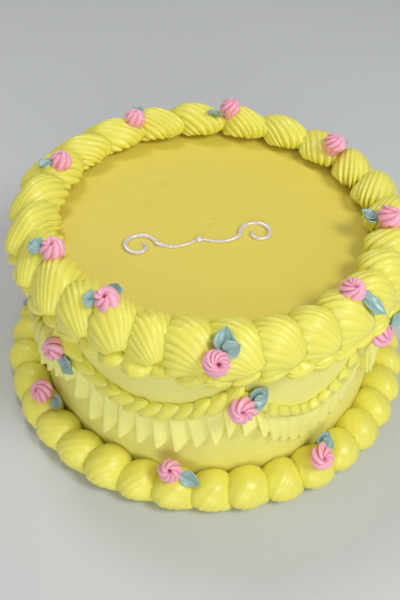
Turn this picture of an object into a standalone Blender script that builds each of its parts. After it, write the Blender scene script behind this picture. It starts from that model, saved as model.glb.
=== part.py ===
"""Round iced cake with piped borders, draped swags and small iced roses.

Metres, +Z up. The cake stands on its flat base at z = 0, and the origin is the
centre of that base. Angles go round the cake in degrees: 0 is the front (-Y)
and they grow towards the right (+X). Every piped shell has its round head at
its smaller angle and its narrow tail at its larger angle.
"""
import math
import random

import bmesh
import bpy
import numpy as np

# Body, an eight inch round four inches high, and the gap between touching pieces
BODY_RADIUS = 0.1016
BODY_HEIGHT = 0.1020
BODY_EDGE = 0.0020
BODY_SIDES = 64
GAP = 0.0003

# Shells of the top border, each at the angle of its middle
TOP_SHELL_ANGLES = (
    -5.5, 8.0, 19.5, 30.2, 41.6, 53.5, 65.0, 77.5, 91.3, 106.0, 122.0, 138.5, 155.0,
    172.0, 189.3, 205.8, 222.0, 238.0, 253.8, 268.6, 283.0, 297.2, 311.2, 323.6, 334.6, 344.8,
)
TOP_SHELL_RING = 0.0978
TOP_SHELL_WIDTH = 0.0300
TOP_SHELL_HEIGHT = 0.0185
TOP_SHELL_SLANT = 0.0070
TOP_SHELL_NECK = 0.55
TOP_SHELL_GROOVE = 0.09
TOP_SHELL_STATIONS = (0.0, 0.07, 0.28, 0.55, 0.80)

# Beads on the side, close under the top border
BEAD_COUNT = 52
BEAD_MIDDLE = 0.0952
BEAD_WIDTH = 0.0126
BEAD_HEIGHT = 0.0105
BEAD_NECK = 0.45
SMALL_STATIONS = (0.0, 0.16, 0.58)

# Swags: angle and height of each peak, the low point between it and the next, and
# the height of the rose's seat at the peak
SWAGS = (
    (-44.2, 0.0825, 0.0605, 0.0765), (10.2, 0.0790, 0.0540, 0.0741), (53.7, 0.0825, 0.0600, 0.0870),
    (106.0, 0.0810, 0.0590, 0.0790), (158.5, 0.0825, 0.0600, 0.0805), (211.0, 0.0800, 0.0585, 0.0780),
    (263.3, 0.0820, 0.0600, 0.0800),
)
SWAG_CURVE = 1.9
SWAG_SHELLS_EACH = 10
SWAG_SHELL_WIDTH = 0.0100
SWAG_SHELL_HEIGHT = 0.0068
SWAG_SHELL_NECK = 0.50
SWAG_STEEPEST = 1.10

# Folded ruffle that hangs from the swags. Its section's points have a share of
# the length down and a share of how far the fold stands off the side. The folds
# of each swag get flatter towards its end, by the fade.
RUFFLE_FOLDS_EACH = 9
RUFFLE_LENGTH = 0.0240
RUFFLE_STAND_OFF = 0.0056
RUFFLE_THIN = 0.0012
RUFFLE_SLANT = 0.0085
RUFFLE_LEAN = 4.5
RUFFLE_STEP = 0.10
RUFFLE_FADE = 0.70
RUFFLE_OUTLINE = ((0.0, 0.35), (0.55, 0.75), (1.0, 1.0), (0.96, 0.0), (0.0, 0.0))

# Plump shells round the foot
FOOT_COUNT = 36
FOOT_START = -1.5
FOOT_RING = 0.1105
FOOT_WIDTH = 0.0280
FOOT_HEIGHT = 0.0225
FOOT_SLANT = -0.0040
FOOT_NECK = 0.62
FOOT_STATIONS = (0.0, 0.10, 0.36, 0.72)
FOOT_ARCH_START = 138.0
FOOT_ARCH_STEP = 32.0
FOOT_ARCH_POINTS = 5
FOOT_ARCH_LIFT = 0.06
FOOT_STANCE = 0.46

# Roses. A row of the flower has its width, its height and its twist, and the
# stub that sinks into the icing has a width and a twist. Each rose on the top
# has its angle, the ring radius and height of its seat, and its tilt outwards,
# and each rose on the foot border its angle and ring radius.
ROSE_RADIUS = 0.0072
ROSE_HEIGHT = 0.0080
ROSE_LOBES = 5
ROSE_LOBE_DEPTH = 0.20
ROSE_ROWS = ((0.94, 0.12, 0.0), (1.00, 0.42, 24.0), (0.62, 0.96, 62.0))
ROSE_DIMPLE = 0.80
ROSE_STUB = (0.50, -24.0)
TOP_ROSES = (
    (2.6, 0.1095, 0.1105, 52.0), (44.6, 0.0950, 0.1170, 12.0), (84.1, 0.0925, 0.1175, 15.0),
    (130.1, 0.0905, 0.1175, 10.0), (176.0, 0.0935, 0.1175, 12.0), (214.2, 0.0905, 0.1170, 10.0),
    (254.7, 0.0900, 0.1175, 12.0), (303.7, 0.0925, 0.1175, 18.0), (331.3, 0.0950, 0.1170, 25.0),
)
TOP_ROSE_STUB = 0.0080
SWAG_ROSE_RING = 0.1065
SWAG_ROSE_TILT = 72.0
SWAG_ROSE_STUB = 0.0040
FOOT_ROSES = (
    (-55.0, 0.1095), (-7.5, 0.1105), (34.0, 0.1150), (99.0, 0.1125), (139.0, 0.1120),
    (179.0, 0.1130), (219.0, 0.1115), (259.0, 0.1125),
)
FOOT_ROSE_SEAT = 0.0225
FOOT_ROSE_TILT = 48.0
FOOT_ROSE_STUB = 0.0050

# Leaves: for each rose its leaf pieces. A piece has its length, the direction of
# its foot at the rose's edge and then that of each leaf. Direction 0 points away
# from the cake's axis or down its side, and 90 to larger angles.
LEAF_WIDTH = 0.0092
LEAF_THICKNESS = 0.0011
LEAF_CREASE = 0.0012
LEAF_FOOT = 0.0076
LEAF_SEAT = 0.0040
LEAF_STEP = 0.0005
LEAF_LIFT = 0.0010
LEAF_ROWS = ((0.30, 0.90), (0.62, 0.80))
TOP_LEAVES = (
    ((0.0092, 147.0, 180.0, 105.0),), ((0.0115, 24.0, 24.0),), ((0.0070, 176.0, 146.0, 205.0),),
    ((0.0060, 20.0, 20.0),), ((0.0095, 105.0, 143.0),), ((0.0062, 335.0, 5.0, 300.0),),
    ((0.0066, 45.0, 45.0),), ((0.0062, 320.0, 290.0, 350.0),),
    ((0.0054, 293.0, 293.0), (0.0054, 188.0, 188.0)),
)
SWAG_LEAVES = (
    ((0.0070, 56.0, 56.0),), ((0.0078, 106.0, 135.0, 75.0),), ((0.0070, 120.0, 120.0),),
    ((0.0078, 60.0, 60.0),), ((0.0078, 110.0, 110.0),), ((0.0078, 300.0, 300.0),),
    ((0.0078, 70.0, 70.0),),
)
FOOT_LEAVES = (
    ((0.0068, 95.0, 95.0),), ((0.0092, 72.0, 72.0),), ((0.0070, 118.0, 148.0, 86.0),),
    ((0.0080, 80.0, 80.0),), ((0.0080, 60.0, 60.0),), ((0.0080, 110.0, 110.0),),
    ((0.0080, 75.0, 75.0),), ((0.0080, 60.0, 60.0),),
)

# Plain scroll ornament on the flat top: a bead with a curl on either side.
# A curl loses a share of its radius towards its eye, and the stem from the bead
# bends through a point at shares of the reach and of the radius.
SCROLL_CENTRE = (-0.0070, -0.0160)
SCROLL_TILT = 15.0
SCROLL_REACH = 0.0330
SCROLL_RADIUS = 0.0100
SCROLL_TIGHTEN = 0.72
SCROLL_TURNS = 1.15
SCROLL_STEPS = 12
STEM_BEND = (0.42, -0.75)
STEM_STEPS = 4
SCROLL_THICKNESS = 0.0009
SCROLL_TAPER = 0.45
SCROLL_BEAD = 0.0022
SCROLL_BEAD_SIDES = 8
SCROLL_BEAD_ROWS = ((0.8, -0.0009), (1.0, 0.0), (0.6, 0.0012))
SCROLL_BEAD_TOP = 0.0015

# How far a shell may differ from the next, as a share of its size
UNEVEN = 0.06
SEED = 11

# A cutter's sharp corners move out by at most this many gaps
CORNER_LIMIT = 2.5

YELLOW = (0.78, 0.73, 0.16)
PALE_YELLOW = (0.78, 0.75, 0.24)
GOLDEN = (0.70, 0.58, 0.10)
PINK = (0.84, 0.36, 0.50)
LEAF_GREEN = (0.24, 0.42, 0.36)
SILVER = (0.66, 0.60, 0.64)

UP = np.array((0.0, 0.0, 1.0))


def clear_scene():
    """Removes the objects that a new scene starts with."""
    for item in list(bpy.data.objects):
        bpy.data.objects.remove(item, do_unlink=True)


def icing(name, colour, roughness):
    """A plain icing material."""
    material = bpy.data.materials.new(name)
    material.use_nodes = True
    shader = material.node_tree.nodes["Principled BSDF"]
    shader.inputs["Base Color"].default_value = (*colour, 1.0)
    shader.inputs["Roughness"].default_value = roughness
    shader.inputs["Metallic"].default_value = 0.0
    return material


def make_object(name, body):
    """Makes one object from a body's corner points and faces."""
    points, faces = body
    mesh = bpy.data.meshes.new(name)
    mesh.from_pydata([tuple(point) for point in points], [], faces)
    mesh.update()
    thing = bpy.data.objects.new(name, mesh)
    bpy.context.scene.collection.objects.link(thing)
    return thing


def finish(thing, material):
    """Gives a finished piece its material and smooth shading with crisp folds."""
    thing.data.materials.clear()
    thing.data.materials.append(material)
    thing.data.shade_smooth()
    thing.data.set_sharp_from_angle(angle=math.radians(40.0))


# Shapes as points and triangles

def split(a, b, c, d):
    """The two triangles of a four sided face."""
    return [(a, b, c), (a, c, d)]


def skin(rings, start, end):
    """A closed body: a fan, rows of quads from ring to ring, and a fan."""
    count, sides = len(rings), len(rings[0])
    points = [start] + [point for ring in rings for point in ring] + [end]
    last = len(points) - 1
    faces = []
    for j in range(sides):
        k = (j + 1) % sides
        faces.append((0, 1 + k, 1 + j))
        for i in range(count - 1):
            low, high = 1 + i * sides, 1 + (i + 1) * sides
            faces.extend(split(low + j, low + k, high + k, high + j))
        top = 1 + (count - 1) * sides
        faces.append((top + j, top + k, last))
    return points, faces


def moved(body, along, across, up, origin):
    """A body turned from its own axes to three directions, at a place."""
    points, faces = body
    turn = np.column_stack((along, across, up))
    return [turn @ np.asarray(point) + origin for point in points], faces


def around(angle):
    """Outward and forward (towards larger angles) directions at an angle."""
    a = math.radians(angle)
    outward = np.array((math.sin(a), -math.cos(a), 0.0))
    forward = np.array((math.cos(a), math.sin(a), 0.0))
    return outward, forward


def turned(first, second, degrees):
    """Two directions turned in their own plane, the first towards the second."""
    a = math.radians(degrees)
    return first * math.cos(a) + second * math.sin(a), second * math.cos(a) - first * math.sin(a)


def loop_skin(sections):
    """A closed ring: quads from each section to the next and from the last to
    the first. A section runs from its inner or upper end over the outside."""
    count, sides = len(sections), len(sections[0])
    points = [point for section in sections for point in section]
    faces = []
    for i in range(count):
        for j in range(sides):
            n, k = (i + 1) % count, (j + 1) % sides
            faces.extend(split(i * sides + j, i * sides + k, n * sides + k, n * sides + j))
    return points, faces


def fullness(s, neck):
    """Size of a piped shell from its head at 0 to its tail at 1: a quarter of an
    ellipse up to the fullest point, then a cosine down to the neck."""
    full = 0.30
    if s < full:
        share = math.sqrt(1.0 - (1.0 - s / full) ** 2)
    else:
        share = math.cos(0.5 * math.pi * (s - full) / (1.0 - full))
    return neck + (1.0 - neck) * share


def drum(radius, low, high, edge):
    """A closed upright drum with a bevelled top edge."""
    rings = []
    for r, z in ((radius, low), (radius, high - edge), (radius - edge, high)):
        rings.append([around(360.0 * j / BODY_SIDES)[0] * r + UP * z for j in range(BODY_SIDES)])
    return skin(rings, UP * low, UP * high)


def rosette(stub):
    """A small rose: a dome of spiral lobes with a dimple, on a stub that sinks
    into what carries it."""
    stub_width, stub_twist = ROSE_STUB
    rows = ((stub_width, -stub / ROSE_HEIGHT, stub_twist), *ROSE_ROWS)
    sides = 2 * ROSE_LOBES
    rings = []
    for wide, tall, twist in rows:
        ring = []
        for j in range(sides):
            phi = 2.0 * math.pi * j / sides + math.radians(twist)
            size = ROSE_RADIUS * wide * (1.0 - ROSE_LOBE_DEPTH * (j % 2))
            ring.append(np.array((size * math.cos(phi), size * math.sin(phi), ROSE_HEIGHT * tall)))
        rings.append(ring)
    return skin(rings, -UP * stub, UP * ROSE_DIMPLE * ROSE_HEIGHT)


def leaf(length):
    """A creased leaf along +X: two faces with the same triangles, and a rim."""
    top = [np.array((0.0, 0.0, 0.0))]
    for share, wide in LEAF_ROWS:
        lift = LEAF_LIFT * share ** 2
        half = 0.5 * LEAF_WIDTH * wide
        top.append(np.array((length * share, half, lift + LEAF_CREASE)))
        top.append(np.array((length * share, 0.0, lift)))
        top.append(np.array((length * share, -half, lift + LEAF_CREASE)))
    top.append(np.array((length, 0.0, LEAF_LIFT)))
    upper = [(0, 2, 1), (0, 3, 2), (1, 2, 5), (1, 5, 4), (2, 3, 6), (2, 6, 5), (4, 5, 7), (5, 6, 7)]
    rim = (0, 3, 6, 7, 4, 1)
    size = len(top)
    points = top + [point - UP * LEAF_THICKNESS for point in top]
    faces = upper + [tuple(size + v for v in reversed(face)) for face in upper]
    for a, b in zip(rim, rim[1:] + rim[:1]):
        faces.extend(split(a, size + a, size + b, b))
    return points, faces


def line_tube(path, thickness):
    """A thin four sided tube along a level path, closed at both ends."""
    rings = []
    for k, point in enumerate(path):
        before, after = path[max(k - 1, 0)], path[min(k + 1, len(path) - 1)]
        along = (after - before) / np.linalg.norm(after - before)
        across = np.cross(UP, along)
        ends = SCROLL_TAPER if k in (0, len(path) - 1) else 1.0
        offsets = (across, UP, -across, -UP)
        rings.append([point + offset * thickness * ends for offset in offsets])
    tip = 0.2
    return skin(rings, path[0] - (path[1] - path[0]) * tip, path[-1] + (path[-1] - path[-2]) * tip)


# Joining and cutting

def take_result(thing):
    """Gives an object the mesh that its modifiers make, and drops them."""
    graph = bpy.context.evaluated_depsgraph_get()
    mesh = bpy.data.meshes.new_from_object(thing.evaluated_get(graph))
    thing.modifiers.clear()
    thing.data = mesh


def boolean(thing, others, operation):
    """Joins an object with others or cuts it by them. The others are removed."""
    group = bpy.data.collections.new("Operands")
    for other in others:
        group.objects.link(other)
    modifier = thing.modifiers.new(operation, "BOOLEAN")
    modifier.operation = operation
    modifier.operand_type = "COLLECTION"
    modifier.collection = group
    modifier.solver = "EXACT"
    take_result(thing)
    for other in others:
        bpy.data.objects.remove(other, do_unlink=True)
    bpy.data.collections.remove(group)


def joined(name, bodies):
    """One object made of overlapping bodies."""
    things = [make_object(f"{name}_{k}", body) for k, body in enumerate(bodies)]
    first = things[0]
    first.name = name
    if len(things) > 1:
        boolean(first, things[1:], "UNION")
    return first


def grown_copy(thing):
    """A copy of a piece that is bigger by the gap all over, used as a cutter."""
    work = bmesh.new()
    work.from_mesh(thing.data)
    for vert in work.verts:
        vert.co += vert.normal * GAP * min(vert.calc_shell_factor(), CORNER_LIMIT)
    mesh = bpy.data.meshes.new("Cutter")
    work.to_mesh(mesh)
    work.free()
    cutter = bpy.data.objects.new("Cutter", mesh)
    bpy.context.scene.collection.objects.link(cutter)
    return cutter


def cut(thing, cutters):
    """Cuts a piece by each cutter in turn and keeps its largest part."""
    for cutter in cutters:
        modifier = thing.modifiers.new("Cut", "BOOLEAN")
        modifier.operation = "DIFFERENCE"
        modifier.object = cutter
        modifier.solver = "EXACT"
        take_result(thing)
    keep_largest(thing)


def keep_largest(thing):
    """Drops the loose scraps that a cut leaves beside a piece."""
    work = bmesh.new()
    work.from_mesh(thing.data)
    todo = set(work.verts)
    islands = []
    while todo:
        island = set()
        edge_of_search = [todo.pop()]
        while edge_of_search:
            vert = edge_of_search.pop()
            island.add(vert)
            for edge in vert.link_edges:
                other = edge.other_vert(vert)
                if other in todo:
                    todo.remove(other)
                    edge_of_search.append(other)
        islands.append(island)
    if len(islands) > 1:
        islands.sort(key=lambda island: sum(edge.calc_length() for v in island for edge in v.link_edges))
        scraps = [v for island in islands[:-1] for v in island]
        bmesh.ops.delete(work, geom=scraps, context="VERTS")
        work.to_mesh(thing.data)
    work.free()


# The cake's pieces

def uneven(source):
    """Factors of width and height for one piped shell."""
    return 1.0 + source.uniform(-UNEVEN, UNEVEN), 1.0 + source.uniform(-UNEVEN, UNEVEN)


def top_border():
    """The ring of large fluted shells on the top edge. Their bottom is flat."""
    source = random.Random(SEED)
    base = BODY_HEIGHT + GAP
    arc = 8
    sections = []
    for k, angle in enumerate(TOP_SHELL_ANGLES):
        before = (TOP_SHELL_ANGLES[k - 1] - 360.0 * (k == 0) + angle) / 2.0
        after_angle = TOP_SHELL_ANGLES[(k + 1) % len(TOP_SHELL_ANGLES)]
        after = (after_angle + 360.0 * (after_angle < angle) + angle) / 2.0
        wide, tall = uneven(source)
        for s in TOP_SHELL_STATIONS:
            size = fullness(s, TOP_SHELL_NECK)
            outward = around(before + (after - before) * s)[0]
            middle = TOP_SHELL_RING + TOP_SHELL_SLANT * (s - 0.4)
            section = []
            for j in range(arc + 1):
                turn = math.pi * (1.0 - j / arc)
                groove = 1.0 - TOP_SHELL_GROOVE * (j % 2)
                radius = middle + 0.5 * TOP_SHELL_WIDTH * wide * size * groove * math.cos(turn)
                height = TOP_SHELL_HEIGHT * tall * size * groove * math.sin(turn)
                section.append(outward * radius + UP * (base + height))
            sections.append(section)
    return make_object("top_border", loop_skin(sections))


def on_side(angle, height, half_height, depth):
    """A section on the cake's side: an arch from its upper end out and down."""
    outward = around(angle)[0]
    section = []
    for j in range(4):
        turn = 0.5 * math.pi - math.pi * j / 3.0
        radius = BODY_RADIUS + GAP + depth * math.cos(turn)
        section.append(outward * radius + UP * (height + half_height * math.sin(turn)))
    return section


def bead_row():
    """The ring of small beads on the side, close under the top border."""
    source = random.Random(SEED + 1)
    sections = []
    for k in range(BEAD_COUNT):
        wide, tall = uneven(source)
        for s in SMALL_STATIONS:
            size = fullness(s, BEAD_NECK)
            angle = 360.0 * (k + s) / BEAD_COUNT
            half = 0.5 * BEAD_WIDTH * wide * size
            sections.append(on_side(angle, BEAD_MIDDLE, half, BEAD_HEIGHT * tall * size))
    return make_object("bead_row", loop_skin(sections))


def swag_at(index, share):
    """Angle and height of a swag's line at a share of its way to the next peak."""
    angle, peak, low, _ = SWAGS[index]
    after, next_peak, *_ = SWAGS[(index + 1) % len(SWAGS)]
    if after < angle:
        after += 360.0
    reach = abs(2.0 * share - 1.0) ** SWAG_CURVE
    side = peak if share < 0.5 else next_peak
    return angle + (after - angle) * share, low + (side - low) * reach


def swag_steepness(index, share):
    """How much taller a level cut of the swag row is where its line climbs."""
    step = 0.02
    start, start_height = swag_at(index, max(share - step, 0.0))
    stop, stop_height = swag_at(index, min(share + step, 1.0))
    run = math.radians(stop - start) * BODY_RADIUS
    return min(math.hypot(run, stop_height - start_height) / run, SWAG_STEEPEST)


def swag_shells():
    """The row of small shells that follows every swag's line."""
    source = random.Random(SEED + 2)
    sections = []
    for index in range(len(SWAGS)):
        for k in range(SWAG_SHELLS_EACH):
            wide, tall = uneven(source)
            for s in SMALL_STATIONS:
                share = (k + s) / SWAG_SHELLS_EACH
                size = fullness(s, SWAG_SHELL_NECK)
                angle, height = swag_at(index, share)
                half = 0.5 * SWAG_SHELL_WIDTH * wide * size * swag_steepness(index, share)
                sections.append(on_side(angle, height, half, SWAG_SHELL_HEIGHT * tall * size))
    return make_object("swag_shells", loop_skin(sections))


def swag_ruffle():
    """The folded band under the swags. Each fold stands off the side at its
    smaller angle, where it also hangs lowest, and lies flat at its larger angle."""
    inner = BODY_RADIUS + GAP
    drop = 0.5 * SWAG_SHELL_WIDTH * (1.0 + UNEVEN) * SWAG_STEEPEST + GAP
    folds = (
        (RUFFLE_STEP, RUFFLE_STAND_OFF, 0.0),
        (1.0 - RUFFLE_STEP, RUFFLE_THIN, RUFFLE_SLANT),
    )
    sections = []
    for index in range(len(SWAGS)):
        for k in range(RUFFLE_FOLDS_EACH):
            for part, stand_off, rise in folds:
                share = (k + part) / RUFFLE_FOLDS_EACH
                angle, height = swag_at(index, share)
                lean = -RUFFLE_LEAN * math.sin(2.0 * math.pi * share)
                top = height - drop
                flatter = 1.0 - RUFFLE_FADE * share
                section = []
                for down, off in RUFFLE_OUTLINE:
                    outward = around(angle + lean * down)[0]
                    proud = max(stand_off * flatter * off, RUFFLE_THIN) if off > 0.0 else 0.0
                    hang = (RUFFLE_LENGTH - rise * flatter) * down
                    section.append(outward * (inner + proud) + UP * (top - hang))
                sections.append(section)
    return make_object("swag_ruffle", loop_skin(sections))


def foot_border():
    """The ring of plump shells round the foot. They stand on the floor and meet
    the cake's side."""
    source = random.Random(SEED + 3)
    inner = BODY_RADIUS + GAP
    sections = []
    for k in range(FOOT_COUNT):
        wide, tall = uneven(source)
        for s in FOOT_STATIONS:
            size = fullness(s, FOOT_NECK)
            outward = around(FOOT_START + 360.0 * (k + s) / FOOT_COUNT)[0]
            middle = FOOT_RING + FOOT_SLANT * (s - 0.4)
            section = [outward * inner]
            for j in range(FOOT_ARCH_POINTS):
                turn = math.radians(FOOT_ARCH_START - FOOT_ARCH_STEP * j)
                radius = max(inner, middle + 0.5 * FOOT_WIDTH * wide * size * math.cos(turn))
                rise = FOOT_ARCH_LIFT + (1.0 - FOOT_ARCH_LIFT) * math.sin(turn)
                height = max(0.0, FOOT_HEIGHT * tall * size * rise)
                section.append(outward * radius + UP * height)
            foot = middle + FOOT_STANCE * FOOT_WIDTH * wide * size
            section.append(outward * foot)
            sections.append(section)
    return make_object("foot_border", loop_skin(sections))


def scroll():
    """A bead on the flat top with a mirrored curl on either side of it."""
    height = UP * (BODY_HEIGHT + GAP + SCROLL_THICKNESS)
    bodies = []
    for side in (-1.0, 1.0):
        path = []
        for k in range(SCROLL_STEPS):
            share = k / (SCROLL_STEPS - 1)
            turn = math.pi * (1.0 - 2.0 * SCROLL_TURNS * share)
            radius = SCROLL_RADIUS * (1.0 - SCROLL_TIGHTEN * share)
            path.append(np.array((
                side * (SCROLL_REACH + radius * math.cos(turn)), radius * math.sin(turn), 0.0)))
        stem = np.array((side * SCROLL_BEAD * 0.5, 0.0, 0.0))
        bend = np.array((side * SCROLL_REACH * STEM_BEND[0], SCROLL_RADIUS * STEM_BEND[1], 0.0))
        start = path[0]
        curve = []
        for k in range(STEM_STEPS):
            u = k / STEM_STEPS
            curve.append(stem * (1.0 - u) ** 2 + bend * 2.0 * u * (1.0 - u) + start * u ** 2)
        bodies.append(line_tube(curve + path, SCROLL_THICKNESS))
    bead = []
    for wide, level in SCROLL_BEAD_ROWS:
        ring = []
        for j in range(SCROLL_BEAD_SIDES):
            turn = 2.0 * math.pi * j / SCROLL_BEAD_SIDES
            ring.append(np.array((math.cos(turn), math.sin(turn), 0.0)) * SCROLL_BEAD * wide + UP * level)
        bead.append(ring)
    bodies.append(skin(bead, UP * SCROLL_BEAD_ROWS[0][1], UP * SCROLL_BEAD_TOP))
    along, across = turned(np.array((1.0, 0.0, 0.0)), np.array((0.0, 1.0, 0.0)), SCROLL_TILT)
    centre = np.array((*SCROLL_CENTRE, 0.0)) + height
    return joined("flourish", [moved(body, along, across, UP, centre) for body in bodies])


def rose_frame(angle, tilt):
    """A rose's directions: away from the cake's axis, to larger angles, and its own up."""
    outward, forward = around(angle)
    up, away = turned(UP, -outward, -tilt)
    return -away, forward, up


def seat_of(group, index):
    """Angle, ring radius, height, tilt and stub of the seat of one rose."""
    if group == "top":
        return (*TOP_ROSES[index], TOP_ROSE_STUB)
    if group == "swag":
        angle, _, _, height = SWAGS[index]
        return angle, SWAG_ROSE_RING, height, SWAG_ROSE_TILT, SWAG_ROSE_STUB
    return (*FOOT_ROSES[index], FOOT_ROSE_SEAT, FOOT_ROSE_TILT, FOOT_ROSE_STUB)


def rose(name, seat):
    """A rose on its seat."""
    angle, ring, height, tilt, stub = seat
    away, forward, up = rose_frame(angle, tilt)
    origin = around(angle)[0] * ring + UP * height
    return make_object(name, moved(rosette(stub), away, forward, up, origin))


def leaves(name, seat, length, foot, directions):
    """One leaf, or two that meet at their foot, at the edge of a rose."""
    angle, ring, height, tilt, _ = seat
    away, forward, up = rose_frame(angle, tilt)
    to_foot = turned(away, forward, foot)[0]
    origin = around(angle)[0] * ring + UP * height + to_foot * LEAF_FOOT
    bodies = []
    for k, direction in enumerate(directions):
        along, across = turned(away, forward, direction)
        bodies.append(moved(leaf(length), along, across, up, origin + up * (LEAF_SEAT + LEAF_STEP * k)))
    return joined(name, bodies)


def decorate(group, leaf_pieces, cutters, pink, green):
    """The roses of one group with their leaves, each cut to fit what is under it."""
    for index, pieces in enumerate(leaf_pieces):
        seat = seat_of(group, index)
        flower = rose(f"{group}_rose_{index + 1}", seat)
        cut(flower, cutters)
        finish(flower, pink)
        for part, (length, foot, *directions) in enumerate(pieces):
            suffix = "b" * part
            piece = leaves(f"{group}_leaf_{index + 1}{suffix}", seat, length, foot, directions)
            cut(piece, cutters)
            finish(piece, green)


def main():
    clear_scene()
    yellow = icing("Yellow icing", YELLOW, 0.45)
    pale = icing("Pale yellow icing", PALE_YELLOW, 0.50)
    golden = icing("Golden icing", GOLDEN, 0.40)
    pink = icing("Pink icing", PINK, 0.42)
    green = icing("Green icing", LEAF_GREEN, 0.30)
    silver = icing("Silver icing", SILVER, 0.30)

    body = make_object("cake_body", drum(BODY_RADIUS, 0.0, BODY_HEIGHT, BODY_EDGE))
    top = top_border()
    beads = bead_row()
    swags = swag_shells()
    ruffle = swag_ruffle()
    foot = foot_border()
    finish(body, golden)
    finish(ruffle, pale)
    for piece in (top, beads, swags, foot):
        finish(piece, yellow)
    finish(scroll(), silver)

    icings = {piece.name: [grown_copy(piece), piece] for piece in (body, top, beads, swags, ruffle, foot)}

    def under(*names):
        return [cutter for name in names for cutter in icings[name]]

    decorate("top", TOP_LEAVES, under("top_border", "bead_row"), pink, green)
    side = under("cake_body", "bead_row", "swag_shells", "swag_ruffle", "top_border")
    decorate("swag", SWAG_LEAVES, side, pink, green)
    decorate("foot", FOOT_LEAVES, under("cake_body", "foot_border"), pink, green)
    for grown, _ in icings.values():
        bpy.data.objects.remove(grown, do_unlink=True)


main()
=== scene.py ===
"""Looks of a round iced cake with piped shell borders, draped swags and small iced roses.

Metres, +Z up. Angles go round the cake in degrees: 0 is the front (-Y) and they grow towards
the right (+X). Every piped shell has its round head at its smaller angle.
"""

import math
import random
from typing import NamedTuple

import bpy
import numpy as np
from bpy.props import FloatProperty, FloatVectorProperty, IntProperty, PointerProperty
from mathutils import Matrix, Vector
from mathutils.bvhtree import BVHTree


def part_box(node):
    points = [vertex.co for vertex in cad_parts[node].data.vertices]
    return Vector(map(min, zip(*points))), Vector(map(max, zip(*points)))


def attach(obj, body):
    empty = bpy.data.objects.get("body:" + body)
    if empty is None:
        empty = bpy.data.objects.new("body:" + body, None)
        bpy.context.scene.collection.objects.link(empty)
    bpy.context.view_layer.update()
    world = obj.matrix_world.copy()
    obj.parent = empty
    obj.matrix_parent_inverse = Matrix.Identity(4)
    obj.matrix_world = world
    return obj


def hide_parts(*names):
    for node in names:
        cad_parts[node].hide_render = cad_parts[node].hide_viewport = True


bl_info = {
    "name": "Piped Cake",
    "version": (1, 0, 0),
    "blender": (4, 5, 0),
    "location": "3D View > Sidebar > Cake",
    "description": "Makes a round iced cake with piped borders, swags and small iced roses",
    "category": "Add Mesh",
}

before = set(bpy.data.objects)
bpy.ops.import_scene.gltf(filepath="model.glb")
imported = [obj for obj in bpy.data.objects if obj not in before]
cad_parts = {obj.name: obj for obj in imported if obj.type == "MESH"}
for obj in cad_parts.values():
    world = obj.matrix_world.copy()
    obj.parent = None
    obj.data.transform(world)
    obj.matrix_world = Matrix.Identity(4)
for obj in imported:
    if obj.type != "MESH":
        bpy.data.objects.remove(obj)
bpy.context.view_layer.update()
BODY_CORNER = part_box("cake_body")[1]
BODY_RADIUS = BODY_CORNER[0]
BODY_HEIGHT = BODY_CORNER[2]

# Round of the body's top edge, and the waves of its side and of its flat top
BODY_EDGE = 0.0020
SIDE_WAVE = 0.0002
TOP_WAVE = 0.00012

# How far a shell may differ from the next, as a share of its size, how far the rows on the side
# are sunk into it, and the seed of all that is uneven
UNEVEN = 0.06
BEAD_UNEVEN = 0.15
SUNK = 0.0004
SEED = 11

# Shells of the top border, each at the angle of its middle
TOP_SHELL_ANGLES = (
    -5.5, 8.0, 19.5, 30.2, 41.6, 53.5, 65.0, 77.5, 91.3, 106.0, 122.0, 138.5, 155.0,
    172.0, 189.3, 205.8, 222.0, 238.0, 253.8, 268.6, 283.0, 297.2, 311.2, 323.6, 334.6, 344.8,
)
TOP_SHELL_RING = 0.0978
TOP_SHELL_SLANT = 40.0
TOP_SHELL_STRAY = 7.0

# How the top shells sag over the edge: by how much, from how far inside the edge and over what
# distance, and how much less they sag at a height over the flat top
TOP_SHELL_DROOP = 0.0075
DROOP_INSIDE = 0.005
DROOP_OVER = 0.013
DROOP_HEIGHT = 0.018
DROOP_LESS = 0.45

# Beads on the side, close under the top border
BEAD_COUNT = 52
BEAD_MIDDLE = 0.0955
BEAD_SLANT = 17.0
BEAD_STRAY = 8.0

# Swags: angle and height of each peak, the low point between it and the next, and the height of
# the rose's seat at the peak
SWAGS = (
    (-44.2, 0.0825, 0.0605, 0.0765), (10.2, 0.0790, 0.0540, 0.0741), (53.7, 0.0825, 0.0600, 0.0870),
    (106.0, 0.0810, 0.0590, 0.0790), (158.5, 0.0825, 0.0600, 0.0805), (211.0, 0.0800, 0.0585, 0.0780),
    (263.3, 0.0820, 0.0600, 0.0800),
)
SWAG_CURVE = 1.9
SWAG_SHELLS_EACH = 12
SWAG_SLANT = 32.0
SWAG_STRAY = 8.0

# How softly each swag is piped: at 1 its row is a smooth ridge and its ruffle has low folds
SWAG_SOFT = (0.0, 1.0, 0.4, 0.0, 0.7, 0.2, 0.0)

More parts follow.
